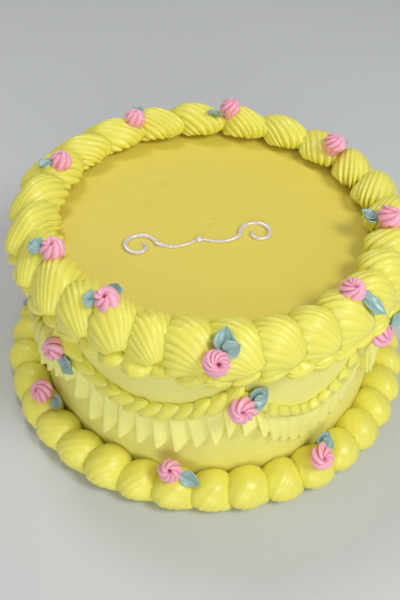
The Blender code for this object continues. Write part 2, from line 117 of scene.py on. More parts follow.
# Folded ruffle that hangs from the swags. A fold's path has shares of its pitch and of how far
# it stands off: it climbs steeply to its crest and runs out thin. In the soft swags the folds get
# flatter, by the fade, and take the path of the soft fold. The lean has shares of the swag and
# degrees by which the hem is ahead of the top. In the crisp swags the folds sag round the given
# share of the swag, over the given width.
RUFFLE_FOLDS_EACH = 11
RUFFLE_DROP = 0.0050
RUFFLE_SLANT = 0.0125
RUFFLE_FADE = 0.70
RUFFLE_LEAN = ((0.0, 0.8), (0.12, -0.8), (0.35, -0.2), (0.60, 1.9), (0.82, 3.2), (1.0, 0.8))
SOFT_LEAN = ((0.0, 0.8), (0.10, 3.0), (0.35, 1.8), (1.0, 0.8))
RUFFLE_SAG = 0.0085
RUFFLE_SAG_AT = (0.25, 0.13)
FOLD_PATH = (
    (0.02, 0.20), (0.05, 0.42), (0.06, 0.64), (0.06, 0.83), (0.09, 0.96), (0.16, 1.02),
    (0.26, 0.99), (0.40, 0.85), (0.56, 0.66), (0.72, 0.46), (0.86, 0.28), (0.97, 0.17),
)
FOLD_CREST = 0.18
# Share of a fold, from its start, that counts as its steep climbing edge, which gets heavy painted shade
FOLD_CLIMB = 0.12
SOFT_FOLD = (
    (0.02, 0.52), (0.08, 0.60), (0.15, 0.72), (0.22, 0.83), (0.29, 0.93), (0.37, 0.99),
    (0.46, 1.00), (0.56, 0.95), (0.66, 0.85), (0.76, 0.73), (0.86, 0.62), (0.94, 0.54),
)

# Plump shells round the foot
FOOT_COUNT = 36
FOOT_START = -1.5
FOOT_RING = 0.1125
FOOT_SLANT = -42.0
FOOT_STRAY = 6.0

# Roses: angle, ring radius and height of the seat, and tilt outwards from upright
TOP_ROSES = (
    (2.6, 0.1095, 0.1105, 52.0), (44.6, 0.0950, 0.1170, 12.0), (84.1, 0.0925, 0.1175, 15.0),
    (130.1, 0.0905, 0.1175, 10.0), (176.0, 0.0935, 0.1175, 12.0), (214.2, 0.0905, 0.1170, 10.0),
    (254.7, 0.0900, 0.1175, 12.0), (303.7, 0.0925, 0.1175, 18.0), (331.3, 0.0950, 0.1170, 25.0),
)
SWAG_ROSE_RING = 0.1065
SWAG_ROSE_TILT = 72.0
FOOT_ROSES = (
    (-55.0, 0.1095), (-7.5, 0.1105), (34.0, 0.1150), (99.0, 0.1125), (139.0, 0.1120),
    (179.0, 0.1130), (219.0, 0.1115), (259.0, 0.1125),
)
FOOT_ROSE_SEAT = 0.0225
FOOT_ROSE_TILT = 48.0

# Leaves: for each rose its leaf pieces. A piece has its length beyond the rose's edge, the
# direction of its foot there and then that of each leaf. Direction 0 points away from the cake's
# axis or down its side, and 90 to larger angles.
TOP_LEAVES = (
    ((0.0092, 147.0, 180.0, 105.0),), ((0.0115, 24.0, 24.0),), ((0.0070, 176.0, 146.0, 205.0),),
    ((0.0060, 20.0, 20.0),), ((0.0095, 105.0, 143.0),), ((0.0062, 335.0, 5.0, 300.0),),
    ((0.0056, 50.0, 50.0),), ((0.0050, 320.0, 290.0, 350.0),),
    ((0.0034, 293.0, 293.0), (0.0034, 200.0, 200.0)),
)
SWAG_LEAVES = (
    ((0.0090, 56.0, 80.0, 34.0),), ((0.0078, 106.0, 135.0, 75.0),), ((0.0070, 120.0, 120.0),),
    ((0.0078, 60.0, 60.0),), ((0.0078, 110.0, 110.0),), ((0.0078, 300.0, 300.0),),
    ((0.0078, 70.0, 70.0),),
)
FOOT_LEAVES = (
    ((0.0068, 95.0, 95.0),), ((0.0092, 72.0, 72.0),), ((0.0070, 118.0, 148.0, 86.0),),
    ((0.0080, 80.0, 80.0),), ((0.0080, 60.0, 60.0),), ((0.0080, 110.0, 110.0),),
    ((0.0080, 75.0, 75.0),), ((0.0080, 60.0, 60.0),),
)

# A leaf starts this far from its seat's middle, and its length counts from the second distance on.
# A piece's second leaf is shorter by a share
LEAF_FOOT = 0.0052
LEAF_EDGE = 0.0076
SECOND_LEAF_SHORTER = 0.30

ICINGS_UNDER_LEAVES = ("cake_coat", "top_shells", "side_beads", "swag_row", "ruffle", "foot_shells")

# How a leaf finds the icing: rays start this far over it and this far aside of its middle line,
# its heights over the seat stay in this range, and the last value stands for no icing
LEAF_PROBE = 0.014
LEAF_ASIDE = 0.0018
LEAF_RANGE = (-0.0040, 0.0055)
LEAF_NOTHING = -0.006

# Section of a leaf: how high its rims, its cupped edges and its curled end stand, how far it lies
# over the icing and over the leaf below it, how far its two ends do, and its ripples as a share of
# its length
LEAF_RIM = 0.0006
LEAF_CUP = 0.0017
LEAF_CURL = 0.0012
LEAF_LIFT = 0.0009
LEAF_LAYER = 0.0006
LEAF_START_LIFT = 0.0006
LEAF_TIP_LIFT = 0.0022
LEAF_RIPPLE = 0.045

# Profile of a rose from under its seat round the rim into its eye, in shares of its radius and height
ROSE_PROFILE = (
    (0.45, -0.50), (0.62, -0.22), (0.86, 0.02), (1.00, 0.22), (1.03, 0.38), (0.99, 0.55), (0.89, 0.74),
    (0.73, 0.90), (0.54, 0.99), (0.36, 1.01), (0.22, 0.93), (0.13, 0.72), (0.10, 0.45),
)

# Ridges of a rose: the fewest, the share of each that rises, how deep the creases are along the
# profile, least and most turn in radians from rim to eye, and points round a rose
ROSE_FEWEST = 6
RIDGE_RISE = 0.72
CREASE_DEPTHS = ((0.0, 0.0), (0.15, 0.16), (0.3, 0.24), (0.6, 0.26), (0.85, 0.24), (1.0, 0.12))
ROSE_SWIRL = (2.0, 3.0)
ROSE_COLUMNS = 120

# Scroll ornament on the flat top: a bead with a curl on either side
SCROLL_CENTRE = (-0.0070, -0.0160)
SCROLL_TILT = 15.0
SCROLL_REACH = 0.0330
SCROLL_RADIUS = 0.0100
SCROLL_TIGHTEN = 0.72
SCROLL_TURNS = 1.15
STEM_BEND = (0.42, -0.75)
STEM_START = 0.0012
SCROLL_BEAD_RADIUS = 0.0024
SCROLL_BEAD_RISE = 0.0021

# Camera: its place, the way it looks and its roll in degrees, fitted to the rims in the photograph
CAMERA_PLACE = (0.0, -0.31904, 0.35269)
CAMERA_AIM = (-0.01153, 0.71541, -0.69861)
CAMERA_ROLL = 2.722

# Lights: name, place, diameter and the property that holds the power. All aim at one point
LIGHTS = (
    ("Key light", (0.70, -0.45, 1.05), 0.45, "key_power"),
    ("Fill light", (-1.1, -0.9, 0.9), 1.4, "fill_power"),
    ("Front light", (0.15, -1.35, 0.50), 0.7, "front_power"),
    ("Ceiling light", (-0.35, 0.55, 1.30), 0.40, "ceiling_power"),
)
LIGHT_AIM = Vector((0.0, 0.0, 0.06))
FLOOR_REACH = 6.0

UP = np.array((0.0, 0.0, 1.0))


def length_setting(name, description, default):
    """A length in metres that a user may change."""
    return FloatProperty(
        name=name, description=description, default=default, unit="LENGTH", subtype="DISTANCE")


def colour_setting(name, description, default):
    """A colour that a user may change."""
    return FloatVectorProperty(name=name, description=description, default=default, subtype="COLOR")


def power_setting(name, description, default):
    """The power of a light, in watts, that a user may change."""
    return FloatProperty(name=name, description=description, default=default, unit="POWER")


class CakeSizes(bpy.types.PropertyGroup):
    """Sizes of the piped pieces."""
    shell_width: length_setting("Shell width", "Width of a top shell at its head", 0.0285)
    shell_height: length_setting("Shell height", "Height of a top shell over the flat top", 0.0185)
    shell_flutes: IntProperty(
        name="Shell flutes", description="Ridges all the way round a top shell", default=22, min=6, max=30)
    shell_groove: FloatProperty(
        name="Shell groove", description="Depth of the grooves between ridges, as a share of the radius",
        default=0.048, min=0.0, max=0.4, subtype="FACTOR")
    bead_width: length_setting(
        "Bead width", "Height of a bead on the side, from its lower to its upper edge", 0.0114)
    bead_height: length_setting("Bead depth", "How far a bead stands off the side", 0.0100)
    swag_width: length_setting("Swag width", "Width of a small shell of the swags", 0.0084)
    swag_height: length_setting(
        "Swag depth", "How far a small shell of the swags stands off the side", 0.0062)
    ruffle_length: length_setting("Ruffle length", "Length of a fold where it hangs lowest", 0.0226)
    ruffle_stand_off: length_setting("Ruffle stand-off", "How far a fold's lip stands off the side", 0.0060)
    foot_width: length_setting("Foot shell width", "Width of a foot shell at its head", 0.0264)
    foot_height: length_setting("Foot shell height", "Height of a foot shell over the floor", 0.0192)
    rose_radius: length_setting("Rose radius", "Radius of a rose at its rim", 0.0068)
    rose_height: length_setting("Rose height", "Height of a rose over its seat", 0.0082)
    rose_petals: IntProperty(
        name="Rose petals", description="Most spiral ridges that a rose has", default=10, min=4, max=14)
    leaf_width: length_setting("Leaf width", "Width of a leaf at its widest", 0.0096)
    leaf_thickness: length_setting("Leaf thickness", "Thickness of a leaf", 0.0010)
    line_radius: length_setting("Line radius", "Half the width of the scroll's piped line", 0.0010)


class IcingColours(bpy.types.PropertyGroup):
    """Colours of the icings."""
    coat: colour_setting("Coat", "Smooth icing of the side", (0.92, 0.89, 0.27))
    # Painted shade: the flat top is darker and more golden than the side, standing for the low light on it
    coat_top_shaded: colour_setting("Coat top", "Smooth icing of the flat top", (0.80, 0.67, 0.105))
    piped: colour_setting("Piped yellow", "Icing of the shells", (0.87, 0.815, 0.135))
    # Painted shade: the yellow that grooves and the ruffle's folds are darkened towards
    piped_shaded: colour_setting(
        "Piped yellow, grooves", "The same icing deep in its grooves", (0.80, 0.66, 0.05))
    pale: colour_setting("Pale yellow", "Icing of the ruffle", (0.94, 0.92, 0.27))
    pink: colour_setting("Pink", "Icing of the roses", (0.96, 0.46, 0.60))
    # Painted shade: the pink that the roses' creases and eyes are darkened towards
    pink_shaded: colour_setting("Pink, creases", "The same icing in its creases", (0.78, 0.20, 0.33))
    leaf: colour_setting("Leaf", "Icing of the leaves", (0.33, 0.50, 0.47))
    # Painted shade: the green that the leaves' creases and undersides are darkened towards
    leaf_shaded: colour_setting("Leaf, crease", "The same icing in its crease", (0.14, 0.29, 0.25))
    silver: colour_setting("Silver", "Pearly icing of the scroll", (0.80, 0.74, 0.70))


class StageLook(bpy.types.PropertyGroup):
    """Floor, light and camera."""
    floor: colour_setting("Floor", "Colour of the plain floor", (0.62, 0.64, 0.66))
    key_power: power_setting("Key light", "Power of the light from the right", 6.7)
    fill_power: power_setting("Fill light", "Power of the soft light from the left", 1.4)
    front_power: power_setting("Front light", "Power of the low soft light from the front", 5.3)
    ceiling_power: power_setting("Ceiling light", "Power of the small light overhead", 4.2)
    world: FloatProperty(
        name="Room light", description="Strength of the light from all round", default=0.30)
    lens: FloatProperty(
        name="Lens", description="Focal length on a 36 mm sensor", default=43.50, unit="CAMERA")


# Meshes

def closed_faces(bodies, rows, columns):
    """Quads and end fans of closed bodies that are grids with wrapped columns. Each body has its
    grid's points first, row by row, then the pole before the first row and the one after the last."""
    grid = np.arange(rows * columns).reshape(rows, columns)
    after = np.roll(grid, -1, axis=1)
    quads = np.stack((grid[:-1], after[:-1], after[1:], grid[1:]), axis=-1).reshape(-1, 4)
    start = np.full(columns, rows * columns)
    fans = np.concatenate((
        np.stack((start, after[0], grid[0]), axis=-1),
        np.stack((start + 1, grid[-1], after[-1]), axis=-1)))
    offsets = np.arange(bodies)[:, None, None] * (rows * columns + 2)
    return (quads + offsets).reshape(-1, 4), (fans + offsets).reshape(-1, 3)


def ring_faces(rows, columns):
    """Quads of a closed ring whose rows and columns both wrap."""
    grid = np.arange(rows * columns).reshape(rows, columns)
    below, after = np.roll(grid, -1, axis=0), np.roll(grid, -1, axis=1)
    corner = np.roll(below, -1, axis=1)
    return np.stack((grid, after, corner, below), axis=-1).reshape(-1, 4)


def signed_volume(points, faces):
    """Volume inside triangles or quads: the sum of the pyramids from the origin to each face."""
    total = 0.0
    for k in range(2, faces.shape[1]):
        a, b, c = points[faces[:, 0]], points[faces[:, k - 1]], points[faces[:, k]]
        total += np.einsum("ij,ij->i", a, np.cross(b, c)).sum() / 6.0
    return total


def make_piece(name, points, quads, fans, deep, material, nodes):
    """Makes a smooth mesh object of closed bodies, facing outwards, with its deep attribute, which marks
    where painted shade darkens the icing, and puts it in the place of the CAD nodes that it stands for."""
    if not np.isfinite(points).all():
        raise ValueError(f"{name} has points without a place")
    centred = points - points.mean(axis=0)
    if signed_volume(centred, quads) + (signed_volume(centred, fans) if len(fans) else 0.0) < 0.0:
        quads, fans = quads[:, ::-1], fans[:, ::-1]
    mesh = bpy.data.meshes.new(name)
    mesh.vertices.add(len(points))
    mesh.vertices.foreach_set("co", points.astype(np.float32).ravel())
    corners = np.concatenate((quads.ravel(), fans.ravel())).astype(np.int32)
    mesh.loops.add(len(corners))
    mesh.loops.foreach_set("vertex_index", corners)
    starts = np.concatenate((np.arange(len(quads)) * 4, 4 * len(quads) + np.arange(len(fans)) * 3))
    mesh.polygons.add(len(starts))
    mesh.polygons.foreach_set("loop_start", starts.astype(np.int32))
    mesh.update(calc_edges=True)
    mesh.attributes.new("deep", "FLOAT", "POINT").data.foreach_set("value", deep.astype(np.float32).ravel())
    mesh.shade_smooth()
    mesh.materials.append(material)
    piece = bpy.data.objects.new(name, mesh)
    bpy.context.scene.collection.objects.link(piece)
    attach(piece, "root")
    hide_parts(*nodes)
    return piece


def make_bodies(name, grid, deep, start, end, material, slot, nodes):
    """Makes one object of closed bodies: grid is bodies x rows x columns x 3, and start and end are
    the poles, one each for each body."""
    bodies, rows, columns = grid.shape[:3]
    points = np.concatenate((grid.reshape(bodies, -1, 3), start[:, None], end[:, None]), axis=1)
    # Painted shade: the poles get a middling mark
    marks = np.concatenate((deep.reshape(bodies, -1), np.full((bodies, 2), 0.5)), axis=1)
    quads, fans = closed_faces(bodies, rows, columns)
    return make_piece(name, points.reshape(-1, 3), quads, fans, marks, material, nodes)


# Directions and places

def around(angles):
    """Outward and forward (towards larger angles) directions at angles in degrees."""
    a = np.radians(angles)
    zero = np.zeros_like(a)
    return np.stack((np.sin(a), -np.cos(a), zero), axis=-1), np.stack((np.cos(a), np.sin(a), zero), axis=-1)


def turned(first, second, degrees):
    """Two directions turned in their own plane, the first towards the second."""
    a = np.radians(degrees)
    c, s = np.cos(a), np.sin(a)
    if np.ndim(a):
        c, s = c[:, None], s[:, None]
    return first * c + second * s, second * c - first * s


def strayed(count, seed, mean, most):
    """Slants in degrees for each piped shell of a row, evenly spread about their mean."""
    return mean + np.random.default_rng(seed + 100).uniform(-most, most, count)


def uneven(count, seed, most):
    """Factors of width and height for each piped shell of a row."""
    source = random.Random(seed)
    return np.array([(1.0 + source.uniform(-most, most), 1.0 + source.uniform(-most, most))
                     for _ in range(count)]).T


def swag_line(index, share):
    """Angle and height of the swags' line. The height is the low point plus the rise to the nearer
    peak times the distance from the middle to a power."""
    peaks = np.array(SWAGS)
    after = np.roll(peaks, -1, axis=0)
    turn = (after[:, 0] - peaks[:, 0]) % 360.0
    side = np.where(share < 0.5, peaks[index, 1], after[index, 1])
    reach = np.abs(2.0 * share - 1.0) ** SWAG_CURVE
    return peaks[index, 0] + turn[index] * share, peaks[index, 2] + (side - peaks[index, 2]) * reach


# Piped shells

# Degrees to either side of a shell's crest that are fluted. The underside is plain
FLUTED_HALF = 112.0


class ShellForm(NamedTuple):
    """Shape of one kind of piped shell, in shares of its own length, width and height.

    Flutes are all the way round; their grooves have a depth at the head, near the fullest point,
    at the middle and at the tail, and crease is the power of a ridge's section. Full is where the
    shell is fullest, neck the size of its tail and taper the power between them. Reach, rise and
    foot are the middle line's ellipse and its height over the ground, and tail_bend the degrees
    that its arc leaves out. Front and back are the shell's ends, rows and per_flute its grid. Lumps,
    rings and jag make it uneven, and shade is how strongly painted shade darkens the grooves."""
    flutes: int = 18
    grooves: tuple = (0.15, 0.12, 0.10, 0.13)
    crease: float = 0.8
    full: float = 0.30
    neck: float = 0.45
    reach: float = 0.36
    rise: float = 0.30
    foot: float = 0.10
    tail_bend: float = 35.0
    front: float = -0.60
    back: float = 0.70
    rows: int = 34
    per_flute: int = 8
    lumps: float = 0.02
    jag: float = 0.0
    shade: float = 1.0
    taper: float = 2.0
    rings: float = 0.0


def unit_shells(form, count, seed):
    """Piped shells of unit size: points and marks of painted shade in the grooves, each with its own ridges,
    and poles.

    The middle line is an arc of an ellipse that rises from the head's foot and comes down to the
    tail. Round it goes an oval whose size is a quarter of an ellipse from nothing to the fullest
    point and then goes down to the neck by a power of the rest of the way. At each groove the oval
    is drawn in by a share that follows the absolute cosine of half the flutes times the turn, to a
    power. Each shell's ridges stray a little from even steps and jut out at the head by uneven
    lengths, and its oval is swollen by low lumps and by rings that die away from the head."""
    source = np.random.default_rng(seed)
    u = (np.linspace(0.0, 1.0, form.rows + 1) ** 1.35)[1:]
    step = 2.0 * math.pi / form.flutes
    half = (math.floor(math.radians(FLUTED_HALF) / step) + 0.5) * step
    fluted = np.linspace(-half, half, round(2.0 * half / step) * form.per_flute + 1)
    turn = np.concatenate((fluted, np.linspace(half, 2.0 * math.pi - half, 8)[1:-1]))
    behind = np.clip((u - form.full) / (1.0 - form.full), 0.0, 1.0)
    size = np.where(
        u < form.full,
        np.sqrt(np.clip(1.0 - (1.0 - u / form.full) ** 2, 0.0, 1.0)),
        form.neck + (1.0 - form.neck) * (1.0 - behind ** form.taper))

    def middle(at):
        bend = np.pi - at * (np.pi - math.radians(form.tail_bend))
        return form.reach * np.cos(bend), form.foot + form.rise * np.sin(bend), bend

    mx, mz, bend = middle(u)
    nx, nz = np.cos(bend) / form.reach, np.sin(bend) / form.rise
    length = np.hypot(nx, nz)
    nx, nz = nx / length, nz / length
    body = 1.0 - form.foot - form.rise

    ridge_index = np.clip(np.floor((turn + half) / step).astype(int), 0, form.flutes - 1)
    strength = source.uniform(0.72, 1.10, (count, form.flutes))[:, ridge_index]
    ridge = np.abs(np.cos(0.5 * form.flutes * turn)) ** form.crease * strength
    ridge = np.where(turn > half, 0.0, ridge)
    stray = 0.30 * step * np.sin(3.0 * turn[None] + source.uniform(0.0, 2.0 * math.pi, (count, 1)))
    turn = turn[None] + np.where(turn > half, 0.0, stray)
    turn = turn[:, None, :]
    depth = np.interp(u, (0.0, 0.22, 0.55, 1.0), form.grooves)
    phase = source.uniform(0.0, 2.0 * math.pi, (count, 2))
    lumps = 1.0 + form.lumps * np.cos(2.0 * turn + phase[:, :1, None]) * np.cos(
        5.0 * u[None, :, None] + phase[:, 1:, None])
    lumps = lumps + form.rings * (np.cos(30.0 * u[None] + phase[:, 1:]) * np.exp(-2.0 * u[None]))[:, :, None]
    factor = (1.0 - depth[None, :, None] * (1.0 - ridge[:, None, :])) * lumps
    wide = size[None, :, None] * factor
    jut = source.uniform(0.2, 1.0, (count, form.flutes))[:, ridge_index] * np.where(ridge > 0.0, ridge, 0.0)
    x = mx[None, :, None] + body * wide * np.cos(turn) * nx[None, :, None]
    x = x - form.jag * jut[:, None, :] * np.exp(-((u - 0.16) / 0.12) ** 2)[None, :, None]
    y = 0.5 * wide * np.sin(turn)
    z = mz[None, :, None] + body * wide * np.cos(turn) * nz[None, :, None]

    plain = np.cos(np.linspace(0.0, 2.0 * math.pi, 73))
    plain_x = mx[:, None] + body * size[:, None] * plain * nx[:, None]
    plain_z = mz[:, None] + body * size[:, None] * plain * nz[:, None]
    low, high, top = plain_x.min(), plain_x.max(), plain_z.max()
    stretch = (form.back - form.front) / (high - low)

    def fitted(px, py, pz):
        return np.stack((form.front + (px - low) * stretch, py, np.maximum(pz / top, 0.0)), axis=-1)

    (sx, sz, _), (ex, ez, _) = middle(0.0), middle(1.0)
    start = np.tile(fitted(sx, 0.0, sz), (count, 1))
    end = np.tile(fitted(ex, 0.0, ez), (count, 1))
    # Painted shade: the grooves between ridges are marked for darkening, scaled by the form's shade
    deep = np.broadcast_to(form.shade * (1.0 - ridge[:, None, :]), x.shape)
    return fitted(x, y, z), deep, start, end


def laid(points, origin, along, across, up, size):
    """Points of unit shells, scaled by length, width and height and laid at their places."""
    shape = (len(origin),) + (1,) * (points.ndim - 2)
    parts = [
        points[..., k, None] * size[k].reshape(shape)[..., None] * axis.reshape(shape + (3,))
        for k, axis in enumerate((along, across, up))
    ]
    return origin.reshape(shape + (3,)) + parts[0] + parts[1] + parts[2]


def pipe_row(name, node, form, seed, origin, forward, aside, lift, slant, size, spread=UNEVEN, settle=None):
    """One object of piped shells of yellow icing, each at its origin. A shell's length runs forward
    and its width aside, both turned by its slant, and its height runs along the lift. Size is the
    length, width and height of the shells, and the spread is how far they differ. Settle moves the
    laid points, for shells that sag over an edge."""
    aside, lift = (np.broadcast_to(way, forward.shape) for way in (aside, lift))
    wide, tall = uneven(len(slant), seed, spread)
    sizes = (np.broadcast_to(size[0], len(slant)), size[1] * wide, size[2] * tall)
    grid, deep, start, end = unit_shells(form, len(slant), seed)
    ways = turned(forward, aside, slant)
    grid, start, end = (laid(part, origin, *ways, lift, sizes) for part in (grid, start, end))
    if settle:
        grid, start, end = (settle(part) for part in (grid, start, end))
    return make_bodies(name, grid, deep, start, end, yellow_icing(), "yellow_icing", [node])


def over_edge(points):
    """Points of shells on the top edge, sagged: those beyond the body's edge come down by the droop
    times a smooth step of how far out they are, and less the higher they stand."""
    ring = np.hypot(points[..., 0], points[..., 1])
    out = np.clip((ring - BODY_RADIUS + DROOP_INSIDE) / DROOP_OVER, 0.0, 1.0)
    high = np.clip((points[..., 2] - BODY_HEIGHT) / DROOP_HEIGHT, 0.0, 1.0)
    sagged = points.copy()
    sagged[..., 2] -= TOP_SHELL_DROOP * out * out * (3.0 - 2.0 * out) * (1.0 - DROOP_LESS * high)
    return sagged


# Materials

# How far light spreads inside the icings, in metres, and its share in red, green and blue
GLOW_DEPTH = 0.003
GLOW_COLOUR = (1.0, 0.8, 0.25)


class Nodes:
    """Adds shader nodes to one material and links them."""

    def __init__(self, name):
        self.material = bpy.data.materials.new(name)
        self.material.use_nodes = True
        self.tree = self.material.node_tree
        self.shader = self.tree.nodes["Principled BSDF"]
        self.place = self.add("ShaderNodeTexCoord").outputs["Object"]

    def add(self, kind, links=(), **values):
        """A node with its properties set and its inputs linked or given values."""
        node = self.tree.nodes.new(kind)
        for key, value in values.items():
            setattr(node, key, value)
        for key, value in dict(links).items():
            if isinstance(value, bpy.types.NodeSocket):
                self.tree.links.new(value, node.inputs[key])
            else:
                node.inputs[key].default_value = value
        return node

    def noise(self, scale, detail=3.0, roughness=0.5):
        """Noise on Object coordinates."""
        return self.add("ShaderNodeTexNoise", {
            "Vector": self.place, "Scale": scale, "Detail": detail, "Roughness": roughness}).outputs["Fac"]

    def ramp(self, value, low, high, to_low=0.0, to_high=1.0):
        """A value carried from one range to another, clamped."""
        node = self.add("ShaderNodeMapRange", {
            "Value": value, "From Min": low, "From Max": high, "To Min": to_low, "To Max": to_high})
        return node.outputs["Result"]

    def mix(self, share, first, second):
        """Two colours mixed by a share."""
        node = self.add("ShaderNodeMix", {"Factor": share}, data_type="RGBA")
        for socket, colour in ((node.inputs[6], first), (node.inputs[7], second)):
            if isinstance(colour, bpy.types.NodeSocket):
                self.tree.links.new(colour, socket)
            else:
                socket.default_value = (*colour, 1.0)
        return node.outputs[2]

    def math(self, operation, first, second):
        """A sum, product or other result of two values."""
        return self.add("ShaderNodeMath", {0: first, 1: second}, operation=operation).outputs[0]

    def bump(self, height, distance, strength=1.0, normal=None):
        """A bump of a real height in metres."""
        links = {"Height": height, "Distance": distance, "Strength": strength}
        if normal is not None:
            links["Normal"] = normal
        return self.add("ShaderNodeBump", links).outputs["Normal"]

    def link(self, socket, name):
        """Links a result to an input of the material's shader."""
        self.tree.links.new(socket, self.shader.inputs[name])

    def keep(self, **values):
        """Sets fixed values on inputs of the material's shader, named with _ for a space."""
        for key, value in values.items():
            self.shader.inputs[key.replace("_", " ")].default_value = value


def piped_icing(name, colour, shaded_colour, roughness, glow, grain=0.00012):
    """Piped icing: darkened by painted shade in its grooves and creases, faintly blotched, with air pricks
    and a fine grain.
    """
    nodes = Nodes(name)
    deep = nodes.add("ShaderNodeAttribute", attribute_name="deep").outputs["Fac"]
    # Painted shade: the deep marks take the colour towards the shaded colour in grooves and creases
    groove_shade = nodes.ramp(deep, 0.25, 1.0)
    pale = tuple(min(1.0, c * 1.06) for c in colour)
    blotch = nodes.ramp(nodes.noise(90.0), 0.35, 0.68)
    base = nodes.mix(blotch, colour, pale)
    nodes.link(nodes.mix(nodes.math("MULTIPLY", groove_shade, 0.6), base, shaded_colour), "Base Color")
    nodes.link(nodes.ramp(nodes.noise(420.0), 0.3, 0.7, roughness - 0.07, roughness + 0.08), "Roughness")
    fine = nodes.bump(nodes.noise(1500.0, 2.0), grain)
    nodes.link(nodes.bump(nodes.noise(210.0, 3.0), 0.00035, 1.0, fine), "Normal")
    nodes.keep(Coat_Weight=0.25, Coat_Roughness=0.22)
    nodes.keep(Subsurface_Weight=glow, Subsurface_Radius=GLOW_COLOUR, Subsurface_Scale=GLOW_DEPTH)
    return nodes.material


def coat_icing(name, side, top):
    """Smooth icing: paler on the side than on the top, where the top's darker, more golden colour is painted
    shade, with faint scraper lines round the cake, low waves and a fine grain."""
    nodes = Nodes(name)
    split = nodes.add("ShaderNodeSeparateXYZ", {"Vector": nodes.place})
    height = nodes.ramp(split.outputs["Z"], BODY_HEIGHT - 0.004, BODY_HEIGHT - 0.0005)
    # Painted shade: the top's darker colour takes over near the top edge
    base = nodes.mix(height, side, top)
    patch = nodes.ramp(nodes.noise(28.0, 4.0), 0.35, 0.7)
    warm = tuple(min(1.0, c * f) for c, f in zip(top, (1.03, 1.06, 1.25)))
    nodes.link(nodes.mix(nodes.math("MULTIPLY", patch, 0.35), base, warm), "Base Color")
    nodes.link(nodes.ramp(nodes.noise(160.0), 0.3, 0.7, 0.36, 0.52), "Roughness")
    squash = nodes.add("ShaderNodeMapping", {"Vector": nodes.place, "Scale": (9.0, 120.0, 620.0)})
    strokes = nodes.add(
        "ShaderNodeTexNoise", {"Vector": squash.outputs["Vector"], "Scale": 1.0, "Detail": 3.0})
    fine = nodes.bump(nodes.noise(1300.0, 2.0), 0.00008)
    waves = nodes.bump(nodes.noise(45.0, 3.0), 0.0006, 1.0, fine)
    nodes.link(nodes.bump(strokes.outputs["Fac"], 0.00025, 1.0, waves), "Normal")
    nodes.keep(Subsurface_Weight=0.15, Subsurface_Radius=GLOW_COLOUR, Subsurface_Scale=GLOW_DEPTH)
    return nodes.material


def floor_material(colour):
    """Plain pale floor with a faint mottle."""
    nodes = Nodes("Studio floor")
    light = tuple(min(1.0, c * 1.03) for c in colour)
    nodes.link(nodes.mix(nodes.ramp(nodes.noise(3.0), 0.3, 0.7), colour, light), "Base Color")
    nodes.keep(Roughness=0.60)
    return nodes.material


def yellow_icing():
    """The shells' icing, made once."""
    colours = bpy.context.scene.cake_icing
    made = bpy.data.materials.get("Piped yellow icing")
    return made or piped_icing("Piped yellow icing", colours.piped, colours.piped_shaded, 0.40, 0.40)


# Operators, one for each piece or group of like pieces

class CAKE_OT_body(bpy.types.Operator):
    """Make the smooth coated body"""
    bl_idname = "cake.body"
    bl_label = "Body"

    def execute(self, context):
        """A turned profile: up the side, round the top edge by a quarter circle and in over the
        flat top. Low waves round and up the side keep it from being a perfect drum."""
        columns, side, edge, top = 288, 60, 10, 60
        bow = np.linspace(0.0, 0.5 * math.pi, edge)
        radius = np.concatenate((
            np.full(side, BODY_RADIUS),
            BODY_RADIUS - BODY_EDGE + BODY_EDGE * np.cos(bow),
            np.linspace(BODY_RADIUS - BODY_EDGE, 0.0, top + 2)[1:-1]))
        height = np.concatenate((
            np.linspace(0.0, BODY_HEIGHT - BODY_EDGE, side + 1)[:-1],
            BODY_HEIGHT - BODY_EDGE + BODY_EDGE * np.sin(bow),
            np.full(top, BODY_HEIGHT)))
        angle = np.arange(columns) * 360.0 / columns
        a = np.radians(angle)[None, :]
        rise = height[:, None] / BODY_HEIGHT
        share = radius[:, None] / BODY_RADIUS
        wave = SIDE_WAVE * (np.cos(5.0 * a + 4.0 * rise) + np.cos(11.0 * a - 9.0 * rise + 1.0) - 1.0)
        on_top = height[:, None] > BODY_HEIGHT - BODY_EDGE
        dish = TOP_WAVE * (np.cos(3.0 * a + 7.0 * share) + np.cos(2.0 * a - 15.0 * share)) * on_top
        outward = around(angle)[0]
        r = radius[:, None] + wave * share
        z = height[:, None] + dish * (1.0 - share)
        grid = (r[..., None] * outward[None] + z[..., None] * UP)[None]
        colours = context.scene.cake_icing
        make_bodies(
            "cake_coat", grid, np.zeros(grid.shape[:3]), np.zeros((1, 3)), (UP * BODY_HEIGHT)[None],
            coat_icing("Coat icing", colours.coat, colours.coat_top_shaded), "golden_icing", ["cake_body"])
        return {"FINISHED"}


class CAKE_OT_top_border(bpy.types.Operator):
    """Pipe the large fluted shells on the top edge"""
    bl_idname = "cake.top_border"
    bl_label = "Top border"

    def execute(self, context):
        sizes = context.scene.cake_sizes
        middle = np.array(TOP_SHELL_ANGLES)
        before = (middle + np.append(middle[-1] - 360.0, middle[:-1])) / 2.0
        after = np.append(before[1:], before[0] + 360.0)
        outward, forward = around((before + after) / 2.0)
        slant = strayed(len(middle), SEED, TOP_SHELL_SLANT, TOP_SHELL_STRAY)
        size = (TOP_SHELL_RING * np.radians(after - before), sizes.shell_width, sizes.shell_height)
        depth = sizes.shell_groove
        form = ShellForm(
            flutes=sizes.shell_flutes, grooves=(depth * 5.0, depth * 2.2, depth, depth * 0.8), crease=0.9,
            full=0.27, foot=0.06, rise=0.25, front=-0.67, back=0.78, per_flute=6, lumps=0.05, jag=0.12,
            shade=0.6, taper=1.6)
        pipe_row(
            "top_shells", "top_border", form, SEED, outward * TOP_SHELL_RING + UP * BODY_HEIGHT, forward,
            outward, UP, slant, size, settle=over_edge)
        return {"FINISHED"}


